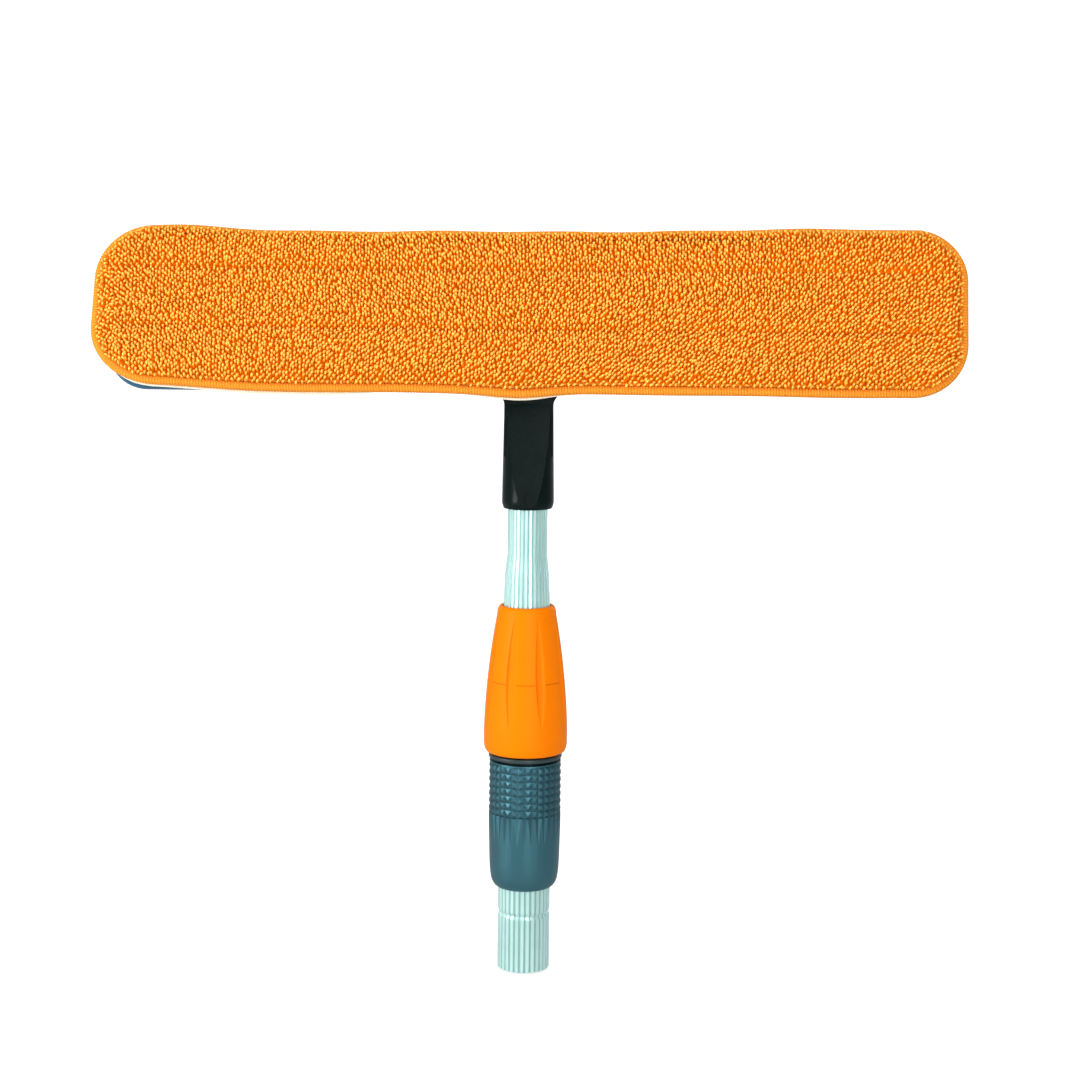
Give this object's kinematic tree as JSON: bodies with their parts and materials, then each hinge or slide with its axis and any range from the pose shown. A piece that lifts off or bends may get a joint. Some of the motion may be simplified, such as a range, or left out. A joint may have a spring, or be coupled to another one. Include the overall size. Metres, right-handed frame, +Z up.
{
  "type": "window washer on telescopic pole",
  "caption": "Flat microfibre window washer: a long rounded pad on a stiff plate, a two-way swivel head and a short telescopic pole with a twist lock and grip.",
  "frame": {"origin": "centre of the open lower end of the outer tube, on the pole's axis", "axes": "+Z up the pole, +X along the pad's length, -Y towards the side that the pad's face looks to"},
  "size_m": [0.404, 0.0607, 0.3589],
  "materials": {
    "aluminium": "satin",
    "black_plastic": "satin",
    "dark_plastic": "satin",
    "grey_plastic": "satin",
    "grip_rubber": "matte",
    "nylon": "satin",
    "orange_plastic": "satin",
    "steel": "satin",
    "teal_plastic": "satin",
    "hook_tape": "matte",
    "white_fleece": "matte",
    "pad_foam": "matte",
    "orange_microfibre": "matte",
    "orange_thread": "matte"
  },
  "bodies": {
    "pole": {"outer_tube": "aluminium", "end_plug": "black_plastic", "lock_body": "dark_plastic", "stop_ring": "grey_plastic", "grip_sleeve": "grip_rubber"},
    "collet": {"lock_collet": "nylon"},
    "nut": {"lock_nut": "orange_plastic", "collet_clip": "steel", "thrust_washer": "nylon"},
    "inner_pole": {"inner_tube": "aluminium", "guide_bush": "nylon", "socket": "black_plastic", "socket_screw": "steel"},
    "knuckle": {"knuckle": "black_plastic", "sway_pin": "steel", "sway_pin_clip": "steel"},
    "head": {"swivel_bracket": "black_plastic", "bracket_screws": "steel", "tilt_pin": "steel", "tilt_pin_clip": "steel", "tilt_washers": "nylon", "backing_plate": "teal_plastic", "hook_strip_upper": "hook_tape", "hook_strip_lower": "hook_tape"},
    "pad": {"pad_backing": "white_fleece", "pad_core": "pad_foam", "pad_pile": "orange_microfibre", "pad_binding": "orange_thread"}
  },
  "joints": [
    {"name": "lock_twist", "type": "hinge", "parent": "collet", "child": "nut", "pos_m": [0, 0, 0.15], "axis": [0, 0, 1], "range_deg": [0, 120]},
    {"name": "lock_travel", "type": "slide", "parent": "pole", "child": "collet", "axis": [0, 0, 1], "range_m": [0, 0.00101]},
    {"name": "pole_extend", "type": "slide", "parent": "pole", "child": "inner_pole", "axis": [0, 0, 1], "range_m": [0, 0.07]},
    {"name": "head_sway", "type": "hinge", "parent": "inner_pole", "child": "knuckle", "pos_m": [0, 0, 0.2891], "axis": [0, 1, 0], "range_deg": [-40, 40]},
    {"name": "head_tilt", "type": "hinge", "parent": "knuckle", "child": "head", "pos_m": [0, 0, 0.3136], "axis": [1, 0, 0], "range_deg": [-150, 10]},
    {"name": "pad_peel", "type": "slide", "parent": "head", "child": "pad", "axis": [0, -0.9397, 0.342], "range_m": [0, 0.06]}
  ],
  "couplings": [
    {"joint": "lock_travel", "follows": "lock_twist", "m_per_rad": 0.00047746}
  ]
}
